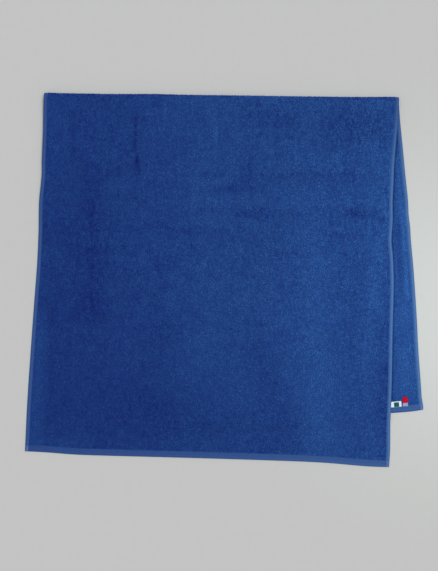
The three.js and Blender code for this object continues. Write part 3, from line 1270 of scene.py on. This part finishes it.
@dataclass(frozen=True)
class TowelSheet:
    """The cloth itself: a closed sheet with its four hems."""

    cloth: FoldedCloth
    column_step: float = 6
    front_step: float = 6
    back_step: float = 12
    turn_steps: int = 14

    def columns(self) -> Array:
        """Gives the mesh's lines across the cloth, as shares from the left."""
        lines = SIDE_HEM.lines()
        width = self.cloth.width
        inner = self.evenly(lines[-1], width - lines[-1], self.column_step)
        return np.concatenate([lines, inner, width - lines[::-1]]) / width

    def rows(self) -> Array:
        """Gives the mesh's lines along the cloth, as runs from the front's end hem."""
        lines = END_HEM.lines()
        cloth = self.cloth
        turn_end = cloth.front.length + cloth.turn_run
        back_start = cloth.length - lines[-1]
        return np.concatenate(
            [
                lines,
                self.evenly(lines[-1], cloth.front.length, self.front_step),
                np.linspace(cloth.front.length, turn_end, self.turn_steps),
                self.evenly(turn_end, back_start, self.back_step),
                cloth.length - lines[::-1],
            ]
        )

    @staticmethod
    def evenly(start: float, end: float, step: float) -> Array:
        """Gives evenly spaced values between two others, which are left out."""
        return np.linspace(start, end, math.ceil((end - start) / step) + 1)[1:-1]

    def build(self) -> Object:
        """Makes the sheet from a grid on each face and a wall round its four edges.

        Returns:
            The new piece.
        """
        columns, rows = self.columns(), self.rows()
        s, run = np.meshgrid(columns, rows)
        cloth = self.cloth
        faces_of_cloth = [cloth.raw_place(s, run, level) + cloth.shift for level in (0.0, 1.0)]
        points = np.concatenate([face.reshape(-1, 3) for face in faces_of_cloth])

        inner = np.arange(s.size).reshape(s.shape)
        outer = inner + s.size
        quads = [
            self.strip(outer[:-1, :-1], outer[:-1, 1:], outer[1:, 1:], outer[1:, :-1]),
            self.strip(inner[:-1, :-1], inner[1:, :-1], inner[1:, 1:], inner[:-1, 1:]),
            self.strip(inner[1:, 0], inner[:-1, 0], outer[:-1, 0], outer[1:, 0]),
            self.strip(inner[:-1, -1], inner[1:, -1], outer[1:, -1], outer[:-1, -1]),
            self.strip(inner[0, :-1], inner[0, 1:], outer[0, 1:], outer[0, :-1]),
            self.strip(inner[-1, 1:], inner[-1, :-1], outer[-1, :-1], outer[-1, 1:]),
        ]
        faces = np.concatenate(quads)
        flat = np.stack([s * cloth.width, run], -1).reshape(-1, 2) * MM
        piece = make_mesh_object(
            "towel_cloth",
            points,
            [faces],
            TerryGround().material(),
            {name: np.tile(values.ravel(), 2) for name, values in self.tones(s, run).items()},
            {"Cloth": [np.tile(flat, (2, 1))[faces]]},
        )
        return join_towel(piece)

    def tones(self, s: Array, run: Array) -> dict[str, Array]:
        """Works out the numbers that the cloth's finish reads.

        Args:
            s: Shares across.
            run: Runs along.

        Returns:
            The distances from the edges, the tone with its painted light and shade, and the
            hems' painted highlight, by name.
        """
        cloth = self.cloth
        from_side, from_end = cloth.edge_distances(s, run)
        place = cloth.raw_place(s, run, 0.5)
        x, y = place[..., 0], place[..., 1]
        on_back = run > cloth.front.length + cloth.turn_run / 2
        return {
            "from_side": from_side,
            "from_end": from_end,
            "tone": np.where(
                on_back,
                cloth.tone(x, y, from_side, Side.INNER),
                cloth.tone(x, y, from_side, Side.OUTER),
            ),
            "gleam": cloth.hem_gleam(x, s, run),
        }

    @staticmethod
    def strip(*corners: Array) -> Array:
        """Makes faces of four arrays of corners, in order round each face."""
        return np.stack([corner.ravel() for corner in corners], -1)


@dataclass(frozen=True)
class Mottle:
    """Soft spots, or short runs along the weave, where the loops look lighter or darker.

    `cell` is about half as long as a spot, and `longer` is how many times longer it is
    across the cloth and along it. `amount` is how much it lightens or darkens in the
    middle of the cloth. It grows by the share `to_right` over the cloth's width. From
    `calm_start` down to `calm_end` it fades to the share `by_end`.
    """

    cell: float
    longer: tuple[float, float]
    amount: float
    to_right: float
    by_end: float
    calm_start: float = 0
    calm_end: float = -250

    def tone(self, patch: Patch, across: Array, along: Array, seed: int) -> Array:
        """Works out how much lighter or darker the loops look.

        It is stretched soft noise times the amount, times a straight slope across,
        times a smooth step along.

        Args:
            patch: Where the loops stand.
            across: Their distances across the cloth.
            along: Their distances along it.
            seed: Which of the random lattices it is.

        Returns:
            The change in tone at each place.
        """
        slope = 1 + self.to_right * patch.x / FoldedCloth.width
        calm = smooth_step(patch.y, self.calm_start, self.calm_end)
        amount = self.amount * slope * lerp(1, self.by_end, calm)
        wide, long = self.longer
        return amount * soft_noise(across / wide, along / long, self.cell, seed)


@dataclass(frozen=True)
class TerryPile:
    """The loops that show: on the front layer, round the fold and on the back strip.

    Loops that stand together lean and grow partly alike, in soft spots that are
    `longer` times as long along the cloth as across it.
    """

    cloth: FoldedCloth
    loop: Lump = Lump(length=2.8, width=1.7, height=1.3, ridge=1.2, sunk=0.3)
    spacing: float = 2.1
    jitter: float = 0.36
    end_gap: float = 0.01
    seed: int = 7
    front_pieces: int = 4
    fold_share: float = 0.75
    under_front: float = 12
    back_margin: float = 6
    loop_tone: float = 0.02
    mottles: tuple[Mottle, ...] = (
        Mottle(2.4, (1, 1), 0.23, 0.8, 0.9),
        Mottle(3, (1, 1), 0.08, 0.6, 0.6),
        Mottle(2.6, (1, 4), 0.08, 0.6, 0.6),
        Mottle(2.6, (4, 1), 0.055, 0.6, 0.6),
        Mottle(7, (1, 4), 0.048, 0.3, 0.4),
        Mottle(7, (2.5, 1), 0.043, 0.3, 0.4),
        Mottle(14, (4, 1), 0.03, 0.3, 0.3),
        Mottle(34, (4, 1), 0.01, 0.3, 0.4),
    )
    strip_mottle: float = 0.6
    longer: float = 1.35
    lean: float = 0.3
    lean_cell: float = 9
    lean_seeds: tuple[int, int] = (11, 12)
    turn_spread: float = 0.7
    size_range: tuple[float, float] = (0.92, 1.08)
    size_drift: float = 0.1
    size_cell: float = 6
    size_seed: int = 13
    material: Material = field(default_factory=lambda: TerryLoops().material())

    def build(self) -> list[Object]:
        """Makes the loops, with the front layer's in bands of about equal size.

        Returns:
            The new pieces.
        """
        cloth = self.cloth
        front_end = cloth.front.length
        turn_end = front_end + cloth.turn_run * self.fold_share
        cuts = [*np.linspace(END_HEM.width, front_end, self.front_pieces + 1), turn_end]
        names = [f"pile_front_{number + 1}" for number in range(self.front_pieces)]
        s, run = self.spots(cuts[0], turn_end)
        pieces = []
        for name, start, end in zip([*names, "pile_fold"], cuts, cuts[1:]):
            chosen = (run >= start) & (run < end)
            pieces.append(self.loops(name, s[chosen], run[chosen], Side.OUTER))

        back_start = front_end + cloth.turn_run + self.back_margin
        s, run = self.spots(back_start, cloth.length - END_HEM.width)
        place = cloth.raw_place(s, run, 0.0)
        chosen = cloth.past_front(place[:, 0], place[:, 1]) > -self.under_front
        pieces.append(self.loops("pile_strip", s[chosen], run[chosen], Side.INNER))
        return pieces

    def spots(self, start: float, end: float) -> tuple[Array, Array]:
        """Works out where the loops stand, from hem to hem.

        They stand in rows, every other row half a step over, and each is moved a little
        at random.

        Args:
            start: Where the loops start along the cloth.
            end: Where they end.

        Returns:
            Their shares across and their runs along.
        """
        random = np.random.default_rng([self.seed, round(start)])
        step = self.spacing
        edge = SIDE_HEM.width + self.loop.width / 3
        width = self.cloth.width
        across, run = np.meshgrid(
            np.arange(edge, width - edge, step), np.arange(start + step / 2, end, step)
        )
        across[1::2] += step / 2
        across = across.ravel() + random.uniform(-1, 1, across.size) * step * self.jitter
        run = run.ravel() + random.uniform(-1, 1, run.size) * step * self.jitter
        s = np.clip(across, edge, width - edge) / width
        return s, np.clip(run, start, end - self.end_gap)

    def loops(self, name: str, s: Array, run: Array, side: Side) -> Object:
        """Makes loops at some spots of the cloth.

        A loop's tone is the cloth's tone there, with its painted light and shade, plus its own
        small difference, plus the mottles, which are fainter on the strip.

        Args:
            name: The new piece's name.
            s: Shares across.
            run: Runs along.
            side: Which face of the cloth.

        Returns:
            The new piece.
        """
        cloth = self.cloth
        random = np.random.default_rng([self.seed, *name.encode()])
        patch = cloth.patch(s, run, side)
        count = len(s)
        across, along = s * cloth.width, run / self.longer
        from_side, _ = cloth.edge_distances(s, run)
        tone = cloth.tone(patch.x, patch.y, from_side, side)
        tone = tone + self.loop_tone * random.normal(size=count)
        share = self.strip_mottle if side is Side.INNER else 1
        for seed, mottle in enumerate(self.mottles, 1):
            tone = tone + share * mottle.tone(patch, across, run, seed)
        lean = [
            random.normal(size=count) + soft_noise(across, along, self.lean_cell, seed)
            for seed in self.lean_seeds
        ]
        drift = self.size_drift * soft_noise(across, along, self.size_cell, self.size_seed)
        scale = random.uniform(*self.size_range, count) * (1 + drift)
        piece = self.loop.spread_over(
            name,
            patch,
            yaw=random.normal(math.pi / 2, self.turn_spread, count),
            scale=scale,
            lean=self.lean * np.stack(lean, -1),
            tone=tone,
            material=self.material,
        )
        return join_towel(piece)


@dataclass(frozen=True)
class HemSewing:
    """The seams along the hems, and the bar tacks that hold the hems' corners."""

    cloth: FoldedCloth
    stitch: Lump = Lump(length=2.5, width=0.6, height=0.32, ridge=1.3, sunk=0.25)
    tack: Lump = Lump(length=4.2, width=0.72, height=0.55, ridge=3.2, sunk=0.25)
    pitch: float = 3.1
    tack_pitch: float = 0.62
    tack_length: float = 9
    tack_from_side: float = 3.7
    tack_from_end: float = 5.6
    margin: float = 1.5
    fold_share: float = 0.6
    seam_tone: float = 0.1
    # Painted sheen: the bar tacks' dense thread coloured lighter than the seams
    tack_painted_sheen: float = 0.8
    tone_spread: float = 0.15
    turn_spread: float = 0.05
    size_range: tuple[float, float] = (0.92, 1.06)
    seed: int = 11
    material: Material = field(default_factory=lambda: SewingThread().material())

    def build(self) -> list[Object]:
        """Makes the seams that show, and three bar tacks.

        Returns:
            The new pieces.
        """
        cloth = self.cloth
        width, length = cloth.width, cloth.length
        over_fold = cloth.front.length + cloth.turn_run * self.fold_share
        back_start = cloth.front.length + cloth.turn_run
        left_seam = SIDE_HEM.seam / width
        back_seam = length - END_HEM.seam
        down = np.arange(self.margin, over_fold, self.pitch)
        level = np.arange(self.margin, width - self.margin, self.pitch) / width
        strip_down = np.arange(back_start, length - self.margin, self.pitch)
        strip_level = level[self.shown(level, np.full(len(level), back_seam))]
        left_tack = self.tack_from_side / width
        tack_run = np.arange(0, self.tack_length, self.tack_pitch) - self.tack_length / 2
        front_tack = self.tack_from_end + tack_run
        back_tack = length - self.tack_from_end + tack_run
        seams = (
            ("seam_left", left_seam, down, Side.OUTER, True),
            ("seam_right", 1 - left_seam, down, Side.OUTER, True),
            ("seam_end", level, END_HEM.seam, Side.OUTER, False),
            ("seam_strip", 1 - left_seam, strip_down, Side.INNER, True),
            ("seam_strip_end", strip_level, back_seam, Side.INNER, False),
        )
        tacks = (
            ("tack_left", left_tack, front_tack, Side.OUTER, False),
            ("tack_right", 1 - left_tack, front_tack, Side.OUTER, False),
            ("tack_strip", 1 - left_tack, back_tack, Side.INNER, False),
        )
        return [
            *(self.row(self.stitch, self.seam_tone, *seam) for seam in seams),
            *(self.row(self.tack, self.tack_painted_sheen, *tack) for tack in tacks),
        ]

    def shown(self, s: Array, run: Array) -> Array:
        """Tells which places of the back layer show beside the front one, or nearly."""
        place = self.cloth.raw_place(s, run, 0.0)
        return self.cloth.past_front(place[:, 0], place[:, 1]) > -self.pitch

    def row(
        self,
        stitch: Lump,
        tone: float,
        name: str,
        s: Array | float,
        run: Array | float,
        side: Side,
        down: bool,
    ) -> Object:
        """Makes a row of stitches.

        Args:
            stitch: The form of one stitch.
            tone: How light they are on the whole.
            name: The new piece's name.
            s: Shares across, or one share.
            run: Runs along, or one run.
            side: Which face of the cloth.
            down: Whether stitches lie along the cloth, not across it.

        Returns:
            The new piece.
        """
        s, run = np.broadcast_arrays(np.asarray(s, float), np.asarray(run, float))
        random = np.random.default_rng([self.seed, *name.encode()])
        count = len(s)
        piece = stitch.spread_over(
            name,
            self.cloth.patch(s, run, side),
            yaw=random.normal(math.pi / 2 if down else 0, self.turn_spread, count),
            scale=random.uniform(*self.size_range, count),
            lean=np.zeros((count, 2)),
            tone=tone + self.tone_spread * random.normal(size=count),
            material=self.material,
        )
        return join_towel(piece)


@dataclass(frozen=True)
class WovenLabel:
    """A small woven label, caught by its lower edge and lying up over the hem.

    `node` is the node that it stands for.
    """

    name: str
    node: str
    width: float
    height: float
    x: float
    y: float
    turn: float
    finish: LabelTape
    cloth: FoldedCloth
    underside: float = 3.3
    thickness: float = 0.6
    rim: float = 0.5
    dip: float = 0.5
    step: float = 0.5

    def build(self) -> Object:
        """Makes the label as a thin pad of two grids that meet in a rounded rim.

        Half its thickness is that of the tape times the square root of one minus the
        square of how far into the rim a place is. The middle height falls by the dip
        towards the lower edge, as a square.

        Returns:
            The new piece.
        """
        across = int(self.width / self.step)
        up = int(self.height / self.step)
        u, v = np.meshgrid(np.linspace(0, 1, across), np.linspace(0, 1, up))
        from_rim = np.minimum(
            np.minimum(u, 1 - u) * self.width, np.minimum(v, 1 - v) * self.height
        )
        into_rim = np.clip(1 - from_rim / self.rim, 0, 1)
        half = self.thickness / 2 * np.sqrt(1 - into_rim**2)
        middle = self.underside + self.thickness / 2 - self.dip * (1 - v) ** 2
        angle = math.radians(self.turn)
        level_x = (u - 0.5) * self.width
        level_y = (v - 0.5) * self.height
        x = self.x + level_x * math.cos(angle) - level_y * math.sin(angle)
        y = self.y + level_x * math.sin(angle) + level_y * math.cos(angle)
        top = np.stack([x, y, middle + half], -1).reshape(-1, 3)
        bottom = np.stack([x, y, middle - half], -1).reshape(-1, 3)

        upper = np.arange(u.size).reshape(u.shape)
        is_rim = np.ones(u.shape, bool)
        is_rim[1:-1, 1:-1] = False
        lower = upper.copy()
        lower[~is_rim] = u.size + np.arange((~is_rim).sum())
        faces = np.concatenate(
            [
                TowelSheet.strip(upper[:-1, :-1], upper[:-1, 1:], upper[1:, 1:], upper[1:, :-1]),
                TowelSheet.strip(lower[:-1, :-1], lower[1:, :-1], lower[1:, 1:], lower[:-1, 1:]),
            ]
        )
        points = np.concatenate([top, bottom[(~is_rim).ravel()]])
        flat = np.stack([u * self.width, v * self.height], -1).reshape(-1, 2) * MM
        flat = np.concatenate([flat, flat[(~is_rim).ravel()]])
        piece = make_mesh_object(
            self.name,
            points + self.cloth.shift,
            [faces],
            self.finish.material(),
            maps={"Tape": [flat[faces]]},
        )
        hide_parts(self.node)
        return join_towel(piece)


def white_label(cloth: FoldedCloth) -> WovenLabel:
    """Gives the white label, with one plain dark green block woven into it."""
    finish = LabelTape(
        name="white polyester label tape, woven",
        specular=0.12,
        sheen=0.02,
        ground="#eaf2f4",
        shaded="#d3dee1",
        block=(8.6, 0.5, 18, 8.8, "#0c5058"),
    )
    return WovenLabel(
        name="woven_label_white",
        node="label_white",
        width=22.4,
        height=10.4,
        x=310.5,
        y=-225.7,
        turn=5,
        finish=finish,
        cloth=cloth,
    )


def red_label(cloth: FoldedCloth) -> WovenLabel:
    """Gives the red label, whose foot is woven in a pale grey."""
    finish = LabelTape(
        name="red polyester label tape, woven",
        specular=0.06,
        sheen=0.01,
        ground="#c4082a",
        shaded="#a60724",
        block=(-1, -1, 13, 6.3, "#90a0c0"),
    )
    return WovenLabel(
        name="woven_label_red",
        node="label_red",
        width=10,
        height=17.2,
        x=328.4,
        y=-220.9,
        turn=2.5,
        finish=finish,
        cloth=cloth,
    )


# Studio


@dataclass(frozen=True)
class EvenLight:
    """A broad light from far off, which falls evenly on the whole floor.

    It comes from a bearing, in degrees from +X towards +Y, and a height over the floor
    in degrees, and `spread` is how wide it looks from the floor, in degrees too.
    """

    name: str
    bearing: float
    height: float
    spread: float
    strength: float
    colour: str
    distance: float = 3

    def build(self) -> None:
        """Makes the light."""
        light = bpy.data.lights.new(self.name, "SUN")
        light.angle = math.radians(self.spread)
        light.energy = self.strength
        light.color = linear(self.colour)[:3]
        turn = math.radians(self.bearing)
        up = math.radians(self.height)
        level = math.cos(up)
        towards = Vector((math.cos(turn) * level, math.sin(turn) * level, math.sin(up)))
        made = bpy.data.objects.new(self.name, light)
        made.location = towards * self.distance
        made.rotation_euler = towards.to_track_quat("Z", "Y").to_euler()
        bpy.context.scene.collection.objects.link(made)


@dataclass(frozen=True)
class LightPool:
    """A lamp above the floor that makes one soft round pool of light on it, in metres."""

    name: str
    middle: tuple[float, float]
    radius: float
    height: float
    lamp: float
    power: float
    colour: str

    def build(self) -> None:
        """Makes the light, which points straight down."""
        light = bpy.data.lights.new(self.name, "SPOT")
        light.spot_size = 2 * math.atan(self.radius / self.height)
        light.spot_blend = 1
        light.shadow_soft_size = self.lamp
        light.energy = self.power
        light.color = linear(self.colour)[:3]
        made = bpy.data.objects.new(self.name, light)
        made.location = (*self.middle, self.height)
        bpy.context.scene.collection.objects.link(made)


@dataclass(frozen=True)
class Studio:
    """A pale floor, soft light from all round, and a camera straight above."""

    floor_half: float = 3000
    lights: tuple[EvenLight | LightPool, ...] = (
        EvenLight("window_light", 40, 72, 45, 1.764, "#ffffff"),
        LightPool("lamp_light", (0.43, -0.05), 0.345, 2.5, 0.2, 60, "#e8fff9"),
    )
    sky: str = "#ffffff"
    sky_strength: float = 0.4
    view_height_mm: float = 1035.4
    view_centre_mm: tuple[float, float] = (-9.3, -9.7)
    cloth_level_mm: float = 4
    camera_distance: float = 3.2
    sensor: float = 36

    def build(self) -> None:
        """Makes the floor, the lights and the camera."""
        self.floor()
        for light in self.lights:
            light.build()
        self.world()
        self.camera()

    def floor(self) -> None:
        """Lays the floor."""
        points = self.floor_half * np.array([(-1, -1, 0), (1, -1, 0), (1, 1, 0), (-1, 1, 0)])
        floor = make_mesh_object(
            "studio_floor", points, [np.array([(0, 1, 2, 3)])], StudioBoard().material()
        )

    def world(self) -> None:
        """Fills the shadows with an even pale light from all round."""
        world = bpy.data.worlds.new("studio_air")
        world.use_nodes = True
        air = world.node_tree.nodes["Background"]
        air.inputs["Color"].default_value = linear(self.sky)
        air.inputs["Strength"].default_value = self.sky_strength
        bpy.context.scene.world = world

    def camera(self) -> None:
        """Hangs the camera over the towel, so that the long side of its view is framed."""
        lens = bpy.data.cameras.new("overhead_camera")
        lens.sensor_width = self.sensor
        lens.lens = self.sensor * self.camera_distance / (self.view_height_mm * MM)
        made = bpy.data.objects.new("overhead_camera", lens)
        x, y = self.view_centre_mm
        made.location = (x * MM, y * MM, self.camera_distance + self.cloth_level_mm * MM)
        bpy.context.scene.collection.objects.link(made)
        bpy.context.scene.camera = made


def main() -> None:
    """Builds the towel piece by piece, and the studio round it."""
    logging.basicConfig(level=logging.INFO, format="%(name)s: %(message)s")
    bpy.context.scene.view_settings.view_transform = "Standard"
    cloth = FoldedCloth()
    sheet = TowelSheet(cloth).build()
    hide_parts(TOWEL_NODE)
    on_sheet = [
        *TerryPile(cloth).build(),
        *HemSewing(cloth).build(),
        white_label(cloth).build(),
        red_label(cloth).build(),
    ]
    flat_size = (cloth.width * MM, (cloth.front.length + cloth.back.length) * MM)
    Studio().build()


if __name__ == "__main__":
    main()
